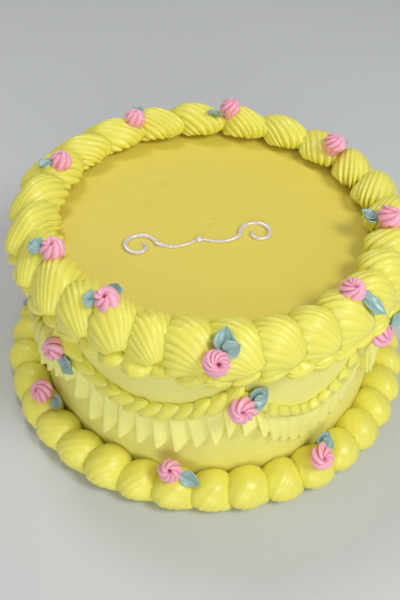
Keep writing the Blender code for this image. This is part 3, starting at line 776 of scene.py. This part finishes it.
class CAKE_OT_beads(bpy.types.Operator):
    """Pipe the small beads on the side, under the top border"""
    bl_idname = "cake.beads"
    bl_label = "Beads"

    def execute(self, context):
        sizes = context.scene.cake_sizes
        outward, forward = around((np.arange(BEAD_COUNT) + 0.5) * 360.0 / BEAD_COUNT)
        slant = strayed(BEAD_COUNT, SEED + 1, BEAD_SLANT, BEAD_STRAY)
        size = (2.0 * math.pi * BODY_RADIUS / BEAD_COUNT, sizes.bead_width, sizes.bead_height)
        form = ShellForm(
            flutes=10, grooves=(0.16, 0.08, 0.05, 0.05), full=0.26, neck=0.30, foot=0.04, rise=0.20,
            tail_bend=22.0, back=0.80, rows=28, per_flute=5, lumps=0.07, jag=0.04, shade=0.4, taper=1.7,
            rings=0.03)
        pipe_row(
            "side_beads", "bead_row", form, SEED + 1, outward * (BODY_RADIUS - SUNK) + UP * BEAD_MIDDLE,
            forward, UP, outward, slant, size, spread=BEAD_UNEVEN)
        return {"FINISHED"}


class CAKE_OT_swags(bpy.types.Operator):
    """Pipe the rows of small pointed shells along the swags"""
    bl_idname = "cake.swags"
    bl_label = "Swags"

    def execute(self, context):
        """Shells along the swags' line, each turned by the line's slope and by its own slant. The
        softer a swag is, the longer, lower and less slanted its shells are."""
        sizes = context.scene.cake_sizes
        count = len(SWAGS) * SWAG_SHELLS_EACH
        index = np.repeat(np.arange(len(SWAGS)), SWAG_SHELLS_EACH)
        share = np.tile((np.arange(SWAG_SHELLS_EACH) + 0.5) / SWAG_SHELLS_EACH, len(SWAGS))
        step = 0.3 / SWAG_SHELLS_EACH
        angle, height = swag_line(index, share)
        angle_a, height_a = swag_line(index, share - step)
        angle_b, height_b = swag_line(index, share + step)
        run = np.radians(angle_b - angle_a) * BODY_RADIUS
        climb = height_b - height_a
        outward, forward = around(angle)
        crisp = 1.0 - np.array(SWAG_SOFT)[index]
        slope = np.degrees(np.arctan2(climb, run)) + strayed(count, SEED + 2, SWAG_SLANT, SWAG_STRAY) * crisp
        pitch = np.hypot(run, climb) / (2.0 * step * SWAG_SHELLS_EACH)
        plump = 0.75 + 0.25 * crisp
        size = (pitch * (1.35 - 0.30 * crisp), sizes.swag_width * plump, sizes.swag_height * plump)
        form = ShellForm(
            flutes=8, grooves=(0.10, 0.07, 0.05, 0.08), full=0.30, neck=0.42, foot=0.02, rise=0.16,
            tail_bend=20.0, front=-0.80, back=1.15, rows=24, per_flute=6, lumps=0.08, shade=0.25)
        pipe_row(
            "swag_row", "swag_shells", form, SEED + 2,
            outward * (BODY_RADIUS - SUNK) + UP * height[:, None], forward, UP, outward, slope, size)
        return {"FINISHED"}


def spline(path, t):
    """A fold's path made smooth by a cubic through its points, repeated by one fold on either side."""
    line = np.concatenate((path[-1:] - (1.0, 0.0), path, path[:2] + (1.0, 0.0)))
    p0, p1, p2, p3 = (line[k:k + len(path), None] for k in range(4))
    return 0.5 * (
        2.0 * p1 + (p2 - p0) * t + (2.0 * p0 - 5.0 * p1 + 4.0 * p2 - p3) * t ** 2
        + (3.0 * p1 - 3.0 * p2 + p3 - p0) * t ** 3).reshape(-1, 2)


def ruffle_surface(sizes):
    """Points and painted shade marks of the ruffle, a ring of sections.

    Across, each fold follows its path smoothly, by cubics through the path's points, and in the soft
    swags it goes over to the soft fold's path within the first few folds. Down, it flares from a third of its
    stand-off at the top to all of it at the hem by a power of the way, turns under by a half circle
    and closes against the side. The hem is ahead of the top by the lean, it is lowest at a fold's
    crest and rises to its far edge, and in the crisp swags it comes down by a bell curve of the
    share of the swag, the sag."""
    fine = 3
    t = (np.arange(fine) / fine)[None, :, None]
    crisp, low = (spline(np.array(path), t) for path in (FOLD_PATH, SOFT_FOLD))
    folds = len(SWAGS) * RUFFLE_FOLDS_EACH
    fold = np.repeat(np.arange(folds), len(crisp))
    number = fold % RUFFLE_FOLDS_EACH
    index = fold // RUFFLE_FOLDS_EACH
    soft = np.array(SWAG_SOFT)[index]
    blend = soft * np.clip((number + 0.5) / 2.0 - 0.5, 0.0, 1.0)
    at, off = (
        np.tile(crisp[:, k], folds) * (1.0 - blend) + np.tile(low[:, k], folds) * blend for k in (0, 1))
    at = at + number
    level = (np.arange(len(fold)) + 0.5) / len(crisp) % RUFFLE_FOLDS_EACH
    (lean_at, lean_by), (soft_at, soft_by) = np.array(RUFFLE_LEAN).T, np.array(SOFT_LEAN).T
    sag_at, sag_wide = RUFFLE_SAG_AT
    source = np.random.default_rng(SEED + 5)
    stand = sizes.ruffle_stand_off * (1.0 + source.uniform(-0.12, 0.12, folds))[fold]
    extent = sizes.ruffle_length + source.uniform(-0.0012, 0.0006, folds)[fold]

    down = np.linspace(0.0, 1.0, 16)
    hem = np.linspace(0.0, math.pi, 6)[1:-1]
    sections = (
        *((d, 0.32 + 0.68 * d ** 0.85, False) for d in down),
        *((1.0 + 0.03 * math.sin(h), 0.60 + 0.40 * math.cos(h), False) for h in hem),
        *((d, 0.0, True) for d in (0.97, 0.5, 0.0)))
    rows = []
    for depth, grow, on_side in sections:
        share = (level if on_side else at) / RUFFLE_FOLDS_EACH
        angle, height = swag_line(index, share)
        lean = np.interp(share, lean_at, lean_by) * (1.0 - soft) + np.interp(share, soft_at, soft_by) * soft
        within = np.clip(share * RUFFLE_FOLDS_EACH - number, 0.0, 1.0)
        flatter = (1.0 - RUFFLE_FADE * blend) * (1.0 - 0.35 * np.clip(share, 0.0, 1.0) ** 3)
        sag = RUFFLE_SAG * (1.0 - soft) * np.exp(-((share - sag_at) / sag_wide) ** 2)
        rise = RUFFLE_SLANT * flatter * np.abs(within - FOLD_CREST) ** 1.2
        outward = around(angle + lean * depth)[0]
        proud = BODY_RADIUS - 0.5 * SUNK + stand * flatter * off * grow
        z = height - RUFFLE_DROP - (extent + sag - rise) * depth
        rows.append(outward * proud[:, None] + z[:, None] * UP)
    points = np.stack(rows)
    # Painted shade: darkest along each fold's steep climbing edge and where a fold stands little off the
    # side, less in soft swags
    climbing = at - number < FOLD_CLIMB
    deep = np.clip(np.where(climbing, 1.25, 0.5) - off, 0.0, 1.0) * (1.0 - 0.6 * blend)
    return points, np.broadcast_to(deep, points.shape[:2])


class CAKE_OT_ruffle(bpy.types.Operator):
    """Pipe the folded ruffle under the swags"""
    bl_idname = "cake.ruffle"
    bl_label = "Ruffle"

    def execute(self, context):
        points, deep = ruffle_surface(context.scene.cake_sizes)
        colours = context.scene.cake_icing
        make_piece(
            "ruffle", points.reshape(-1, 3), ring_faces(*points.shape[:2]), np.empty((0, 3), int), deep,
            piped_icing("Pale yellow icing", colours.pale, colours.piped_shaded, 0.44, 0.10),
            ["swag_ruffle"])
        return {"FINISHED"}


class CAKE_OT_foot_border(bpy.types.Operator):
    """Pipe the plump shells round the foot"""
    bl_idname = "cake.foot_border"
    bl_label = "Foot border"

    def execute(self, context):
        sizes = context.scene.cake_sizes
        outward, forward = around(FOOT_START + (np.arange(FOOT_COUNT) + 0.5) * 360.0 / FOOT_COUNT)
        slant = strayed(FOOT_COUNT, SEED + 3, FOOT_SLANT, FOOT_STRAY)
        size = (2.0 * math.pi * FOOT_RING / FOOT_COUNT, sizes.foot_width, sizes.foot_height)
        form = ShellForm(
            flutes=16, grooves=(0.055, 0.025, 0.012, 0.01), crease=0.9, full=0.38, neck=0.06, reach=0.32,
            rise=0.23, foot=0.03, tail_bend=52.0, front=-0.64, back=0.76, rows=30, per_flute=6, lumps=0.04,
            jag=0.01, shade=0.3)
        pipe_row(
            "foot_shells", "foot_border", form, SEED + 3, outward * FOOT_RING, forward, outward, UP, slant,
            size)
        return {"FINISHED"}


def scroll_line(radius):
    """Points and ends of the two curls, laid flat: a round line carried along a quadratic stem from
    the bead and then along a spiral whose radius shrinks evenly. The line's own radius is a sine of
    the share of the way to a power, with faint beads in it, so that it thins at both ends."""
    spiral = np.linspace(0.0, 1.0, 110)
    turn = np.pi * (1.0 - 2.0 * SCROLL_TURNS * spiral)
    r = SCROLL_RADIUS * (1.0 - SCROLL_TIGHTEN * spiral)
    u = np.linspace(0.0, 1.0, 40)[:-1, None]
    curls = []
    for side in (-1.0, 1.0):
        curl = np.stack((side * (SCROLL_REACH + r * np.cos(turn)), r * np.sin(turn)), axis=-1)
        bend = np.array((side * SCROLL_REACH * STEM_BEND[0], SCROLL_RADIUS * STEM_BEND[1]))
        begin = np.array((side * STEM_START, 0.0))
        stem = begin * (1.0 - u) ** 2 + bend * 2.0 * u * (1.0 - u) + curl[0] * u ** 2
        curls.append(np.concatenate((stem, curl)))
    flat = np.stack(curls)
    way = np.gradient(flat, axis=1)
    way = way / np.linalg.norm(way, axis=-1, keepdims=True)
    across = np.stack((-way[..., 1], way[..., 0], np.zeros(way.shape[:2])), axis=-1)
    share = np.linspace(0.0, 1.0, flat.shape[1])
    size = radius * (0.45 + 0.75 * np.sin(np.pi * share) ** 0.5 + 0.10 * np.cos(23.0 * share))
    spin = (np.arange(14) * 2.0 * math.pi / 14)[:, None]
    centre = np.concatenate((flat, np.zeros(flat.shape[:2] + (1,))), axis=-1)
    ring = across[:, :, None] * np.cos(spin) * 1.15 + UP * (np.sin(spin) + 0.55)
    grid = centre[:, :, None] + ring * size[None, :, None, None]
    grid[..., 2] = np.maximum(grid[..., 2], -0.5 * SUNK)
    start, end = (centre[:, k] + UP * size[k] * 0.55 for k in (0, -1))
    return grid, start, end


def scroll_bead():
    """Points and poles of the bead between the curls: half a flattened ball."""
    lift = np.linspace(0.0, 0.5 * math.pi, 15)[:-1, None]
    spin = np.arange(24) * 2.0 * math.pi / 24
    bead = np.stack((
        SCROLL_BEAD_RADIUS * np.cos(lift) * np.cos(spin), SCROLL_BEAD_RADIUS * np.cos(lift) * np.sin(spin),
        SCROLL_BEAD_RISE * np.sin(lift) * np.ones(24)), axis=-1)[None]
    return bead, np.zeros((1, 3)), (UP * SCROLL_BEAD_RISE)[None]


class CAKE_OT_scroll(bpy.types.Operator):
    """Pipe the scroll ornament on the flat top"""
    bl_idname = "cake.scroll"
    bl_label = "Scroll"

    def execute(self, context):
        along, aside = turned(np.array((1.0, 0.0, 0.0)), np.array((0.0, 1.0, 0.0)), SCROLL_TILT)
        turn_in = np.stack((along, aside, UP), axis=-1)
        origin = np.array((*SCROLL_CENTRE, BODY_HEIGHT))
        material = silver_icing(context.scene.cake_icing.silver)
        line = scroll_line(context.scene.cake_sizes.line_radius)
        for name, shape in (("scroll_line", line), ("scroll_bead", scroll_bead())):
            body, start, end = (part @ turn_in.T + origin for part in shape)
            make_bodies(
                name, body, np.zeros(body.shape[:3]), start, end, material, "silver_icing", ["flourish"])
        return {"FINISHED"}


def silver_icing(colour):
    """Pearly icing with a soft glint."""
    nodes = Nodes("Silver icing")
    warm = tuple(min(1.0, c * f) for c, f in zip(colour, (1.04, 0.98, 0.88)))
    nodes.link(nodes.mix(nodes.ramp(nodes.noise(260.0), 0.35, 0.65), colour, warm), "Base Color")
    nodes.link(nodes.ramp(nodes.noise(600.0), 0.3, 0.7, 0.22, 0.36), "Roughness")
    nodes.link(nodes.bump(nodes.noise(900.0, 2.0), 0.00012), "Normal")
    nodes.keep(Metallic=0.25, Coat_Weight=0.3, Coat_Roughness=0.2)
    return nodes.material


# Roses and leaves

def seats():
    """Angle, ring radius, height and tilt of every rose's seat, by group."""
    swag = [(angle, SWAG_ROSE_RING, height, SWAG_ROSE_TILT) for angle, _, _, height in SWAGS]
    foot = [(angle, ring, FOOT_ROSE_SEAT, FOOT_ROSE_TILT) for angle, ring in FOOT_ROSES]
    return {"top": np.array(TOP_ROSES), "swag": np.array(swag), "foot": np.array(foot)}


def seat_frames(seat):
    """Origins and directions of seats: away from the cake's axis, to larger angles, and up."""
    outward, forward = around(seat[:, 0])
    up_way = np.broadcast_to(UP, outward.shape)
    up, back = turned(up_way, -outward, -seat[:, 3])
    return outward * seat[:, 1:2] + UP * seat[:, 2:3], -back, forward, up


def height_finder():
    """A function that gives the height of the icing under a point, along a seat's up direction."""
    graph = bpy.context.evaluated_depsgraph_get()
    trees = [BVHTree.FromObject(bpy.data.objects[name], graph) for name in ICINGS_UNDER_LEAVES]

    def height_at(point, up):
        hits = [tree.ray_cast(Vector(point + up * LEAF_PROBE), Vector(-up)) for tree in trees]
        found = [LEAF_PROBE - hit[3] for hit in hits if hit[0] is not None]
        return max(found) if found else LEAF_NOTHING

    return height_at


def leaf_place(seat, foot, direction, reach, layer, height_at):
    """Where a leaf lies beside its rose: its foot, its directions along, across and up, its length,
    three heights found on the icing below it, and its layer."""
    origin, away, forward, up = seat
    to_foot = turned(away, forward, foot)[0]
    start = origin + to_foot * LEAF_FOOT
    reach = reach * (1.0 - SECOND_LEAF_SHORTER * layer)
    tip = origin + to_foot * LEAF_EDGE + turned(away, forward, direction)[0] * reach
    length = np.linalg.norm(tip - start)
    along = (tip - start) / length
    across = np.cross(up, along)
    asides = (-LEAF_ASIDE, 0.0, LEAF_ASIDE)
    low, mid, high = (
        np.clip(max(height_at(start + along * length * share + across * aside, up) for aside in asides),
                *LEAF_RANGE)
        for share in (0.15, 0.55, 0.90))
    mid = np.clip(mid, 0.5 * (low + high) - 0.0004, 0.5 * (low + high) + 0.0016)
    return start, along, across, up, length, (low, mid, high), layer


def leaf_body(place, sizes, source):
    """Points, painted shade marks and ends of one leaf, a strip along its middle line, which is a parabola
    through the three heights. Across, the strip has a crease in the middle, raised edges and ripples
    that grow outwards; its width is a sine of the share of its length to a power."""
    start, along, across, up, length, (low, mid, high), layer = place
    u = np.linspace(0.0, 1.0, 18)[1:-1, None]
    v = np.linspace(-1.0, 1.0, 15)[None, :]
    wave = source.uniform(0.0, 2.0 * math.pi)
    bow = low * (1.0 - u) * (1.0 - 2.0 * u) + mid * 4.0 * u * (1.0 - u) + high * u * (2.0 * u - 1.0)
    half = 0.5 * sizes.leaf_width * source.uniform(0.9, 1.1) * np.sin(np.pi * u ** 0.80) ** 0.70
    edge = np.abs(v)
    rim = LEAF_RIM * np.exp(-((edge - 0.80) / 0.16) ** 2) * np.sin(np.pi * u) ** 0.5
    cup = LEAF_CUP * edge ** 1.1 * (1.0 - 0.5 * u)
    ripple = LEAF_RIPPLE * length * edge * np.sin(9.0 * u + wave + 1.5 * np.sign(v))
    base = LEAF_LIFT + LEAF_LAYER * layer + LEAF_CURL * u ** 2
    level = bow + base + cup + rim + ripple
    thin = sizes.leaf_thickness * (1.0 - 0.5 * edge ** 3)
    flat = start + along * length * u[..., None] + across * (half * v)[..., None]
    top = flat + up * level[..., None]
    under = flat + up * (level - thin)[..., None]
    # Painted shade: the middle crease, and below the whole underside, are marked for darkening
    crease = np.broadcast_to(np.exp(-(edge / 0.16) ** 2), level.shape)
    return (
        np.concatenate((top, under[:, ::-1]), axis=1),
        np.concatenate((0.2 + 0.8 * crease, np.ones_like(crease)), axis=1),
        start + up * (low + LEAF_START_LIFT),
        start + along * length * 1.04 + up * (high + LEAF_TIP_LIFT + LEAF_LAYER * layer))


class CAKE_OT_leaves(bpy.types.Operator):
    """Pipe the leaves beside the roses"""
    bl_idname = "cake.leaves"
    bl_label = "Leaves"

    def execute(self, context):
        colours = context.scene.cake_icing
        material = piped_icing("Leaf icing", colours.leaf, colours.leaf_shaded, 0.27, 0.12, 0.00008)
        height_at = height_finder()
        source = np.random.default_rng(SEED + 7)
        for group, roses in (("top", TOP_LEAVES), ("swag", SWAG_LEAVES), ("foot", FOOT_LEAVES)):
            seat = list(zip(*seat_frames(seats()[group])))
            places, nodes = [], []
            for rose, pieces in enumerate(roses):
                for part, (reach, foot, *directions) in enumerate(pieces):
                    nodes.append(f"{group}_leaf_{rose + 1}{'b' * part}")
                    for layer, direction in enumerate(directions):
                        places.append(leaf_place(seat[rose], foot, direction, reach, layer, height_at))
            bodies = zip(*(leaf_body(place, context.scene.cake_sizes, source) for place in places))
            grid, deep, start, end = (np.stack(part) for part in bodies)
            make_bodies(f"{group}_leaves", grid, deep, start, end, material, "green_icing", nodes)
        return {"FINISHED"}


def rose_bodies(group, seat, sizes):
    """Points, painted shade marks of the creases and the eye, and poles of a group's roses: domes turned from
    a profile that starts under the seat, comes round the rim and dips into an open eye a little off the
    middle.

    Spiral ridges run over a dome: the profile is drawn in and lowered at each crease, and each ridge
    is a quarter sine up and a shorter quarter cosine down, to powers. Roses with few ridges have
    deeper ones, some drawn out at the rim by a bell curve of the profile's share."""
    knots = np.linspace(0.0, 1.0, len(ROSE_PROFILE))
    s = np.linspace(0.0, 1.0, 36)
    radius, level = (np.interp(s, knots, part) for part in np.array(ROSE_PROFILE).T)
    for part in (radius, level):
        part[1:-1] = np.convolve(part, (0.25, 0.5, 0.25), "valid")
    radius, level = radius[None, :, None], level[None, :, None]
    spin = np.linspace(0.0, 2.0 * math.pi, ROSE_COLUMNS + 1)[:-1]
    origins, away, forward, up = seat_frames(seat)
    count = len(seat)
    source = np.random.default_rng(SEED + 9 + len(group) * count)
    petals = source.integers(ROSE_FEWEST, sizes.rose_petals - 1, count)
    if group == "top":
        petals[0] = sizes.rose_petals
    few = np.clip((sizes.rose_petals - petals) / 5.0, 0.0, 1.0)[:, None, None]
    phase = source.uniform(0.0, 2.0 * math.pi, count)[:, None, None]
    swirl = source.uniform(*ROSE_SWIRL, count)[:, None, None]
    twist = 0.4 + swirl * np.clip((s - 0.25) / 0.75, 0.0, 1.0)[None, :, None] ** 1.2
    at = np.arange(ROSE_COLUMNS)[None, :] * petals[:, None] / ROSE_COLUMNS
    x = at % 1.0

    def of_each_petal(least, most):
        drawn_values = source.uniform(least, most, (count, sizes.rose_petals + 1))
        return np.take_along_axis(drawn_values, np.floor(at).astype(int), axis=1)

    fall = (x - RIDGE_RISE) / (1.0 - RIDGE_RISE)
    rounded = np.where(
        x < RIDGE_RISE, np.sin(0.5 * np.pi * x / RIDGE_RISE) ** 0.75,
        np.abs(np.cos(0.5 * np.pi * fall)) ** 0.9)
    ridge = (rounded * of_each_petal(0.72, 1.15))[:, None, :]
    spike = of_each_petal(-0.06, 0.12)[:, None, :]
    ramp = np.interp(s, *np.array(CREASE_DEPTHS).T)
    amount = ramp[None, :, None] * (1.0 + 0.10 * few)
    drawn = 1.0 - amount * (1.0 - ridge)
    tips = 1.0 + spike * ridge ** 4 * few * np.exp(-((s - 0.36) / 0.13) ** 2)[None, :, None]
    theta = spin[None, None, :] + twist + phase
    size = sizes.rose_radius * source.uniform(0.92, 1.05, count)[:, None, None]
    shift = source.uniform(-0.16, 0.16, (2, count, 1, 1)) * sizes.rose_radius
    eye = shift * np.clip(1.1 - radius, 0.0, 1.0)
    r = size * radius * drawn * tips
    z = sizes.rose_height * (level - 0.38 * amount * (1.0 - ridge) * (level > 0.0))
    parts = (r * np.cos(theta) + eye[0], r * np.sin(theta) + eye[1], z)
    grid = origins[:, None, None] + sum(
        part[..., None] * axis[:, None, None] for part, axis in zip(parts, (away, forward, up)))
    # Painted shade: the creases between ridges and the eye are marked for darkening
    deep = np.broadcast_to(np.maximum(1.0 - ridge, 0.6 * (s > 0.90)[None, :, None]), r.shape)
    start = origins - up * sizes.rose_height * 0.55
    end = grid[:, -1].mean(axis=1) - up * sizes.rose_height * 0.05
    return grid, deep, start, end


class CAKE_OT_roses(bpy.types.Operator):
    """Pipe the small pink roses"""
    bl_idname = "cake.roses"
    bl_label = "Roses"

    def execute(self, context):
        colours = context.scene.cake_icing
        material = piped_icing("Rose icing", colours.pink, colours.pink_shaded, 0.38, 0.22, 0.00010)
        for group, seat in seats().items():
            nodes = [f"{group}_rose_{k + 1}" for k in range(len(seat))]
            bodies = rose_bodies(group, seat, context.scene.cake_sizes)
            make_bodies(f"{group}_roses", *bodies, material, "pink_icing", nodes)
        return {"FINISHED"}


class CAKE_OT_stage(bpy.types.Operator):
    """Make the floor, the lights and the camera"""
    bl_idname = "cake.stage"
    bl_label = "Stage"

    def execute(self, context):
        look = context.scene.cake_stage
        mesh = bpy.data.meshes.new("studio_floor")
        corners = [(FLOOR_REACH * x, FLOOR_REACH * y, 0.0) for x, y in ((-1, -1), (1, -1), (1, 1), (-1, 1))]
        mesh.from_pydata(corners, [], [(0, 1, 2, 3)])
        mesh.materials.append(floor_material(look.floor))
        floor = bpy.data.objects.new("studio_floor", mesh)
        context.scene.collection.objects.link(floor)

        for name, place, size, energy in LIGHTS:
            light = bpy.data.lights.new(name, "AREA")
            light.shape = "DISK"
            light.size = size
            light.energy = getattr(look, energy)
            lamp = bpy.data.objects.new(name, light)
            lamp.location = place
            lamp.rotation_euler = (LIGHT_AIM - Vector(place)).to_track_quat("-Z", "Y").to_euler()
            context.scene.collection.objects.link(lamp)

        world = bpy.data.worlds.new("Room")
        world.use_nodes = True
        background = world.node_tree.nodes["Background"]
        background.inputs["Color"].default_value = (1.0, 0.99, 0.97, 1.0)
        background.inputs["Strength"].default_value = look.world
        context.scene.world = world

        data = bpy.data.cameras.new("Camera")
        data.lens = look.lens
        data.sensor_width = 36.0
        data.clip_start = 0.01
        camera = bpy.data.objects.new("Camera", data)
        aim = Vector(CAMERA_AIM).normalized()
        right = aim.cross(Vector((0.0, 0.0, 1.0))).normalized()
        over = right.cross(aim)
        roll = math.radians(CAMERA_ROLL)
        side = right * math.cos(roll) + over * math.sin(roll)
        over = over * math.cos(roll) - right * math.sin(roll)
        turn = Matrix((side, over, -aim)).transposed().to_4x4()
        camera.matrix_world = Matrix.Translation(CAMERA_PLACE) @ turn
        context.scene.collection.objects.link(camera)
        context.scene.camera = camera
        context.scene.view_settings.view_transform = "Standard"
        return {"FINISHED"}


class CAKE_PT_panel(bpy.types.Panel):
    """Lists the cake's sizes, colours and pieces"""
    bl_idname = "CAKE_PT_panel"
    bl_label = "Piped cake"
    bl_space_type = "VIEW_3D"
    bl_region_type = "UI"
    bl_category = "Cake"

    def draw(self, context):
        for group in (context.scene.cake_sizes, context.scene.cake_icing, context.scene.cake_stage):
            box = self.layout.box()
            for name in group.__annotations__:
                box.prop(group, name)
        for operator in OPERATORS:
            self.layout.operator(operator.bl_idname)


# In the order in which they are called: leaves are laid on the icings, and roses over the leaves
OPERATORS = (
    CAKE_OT_body, CAKE_OT_top_border, CAKE_OT_beads, CAKE_OT_swags, CAKE_OT_ruffle, CAKE_OT_foot_border,
    CAKE_OT_scroll, CAKE_OT_leaves, CAKE_OT_roses, CAKE_OT_stage,
)
CLASSES = (CakeSizes, IcingColours, StageLook, *OPERATORS, CAKE_PT_panel)


def register():
    for item in CLASSES:
        bpy.utils.register_class(item)
    bpy.types.Scene.cake_sizes = PointerProperty(type=CakeSizes)
    bpy.types.Scene.cake_icing = PointerProperty(type=IcingColours)
    bpy.types.Scene.cake_stage = PointerProperty(type=StageLook)


def unregister():
    del bpy.types.Scene.cake_stage
    del bpy.types.Scene.cake_icing
    del bpy.types.Scene.cake_sizes
    for item in reversed(CLASSES):
        bpy.utils.unregister_class(item)


def main():
    register()
    for operator in OPERATORS:
        group, name = operator.bl_idname.split(".")
        result = getattr(getattr(bpy.ops, group), name)()
        if result != {"FINISHED"}:
            raise RuntimeError(f"{operator.bl_label} was not finished")


if __name__ == "__main__":
    main()
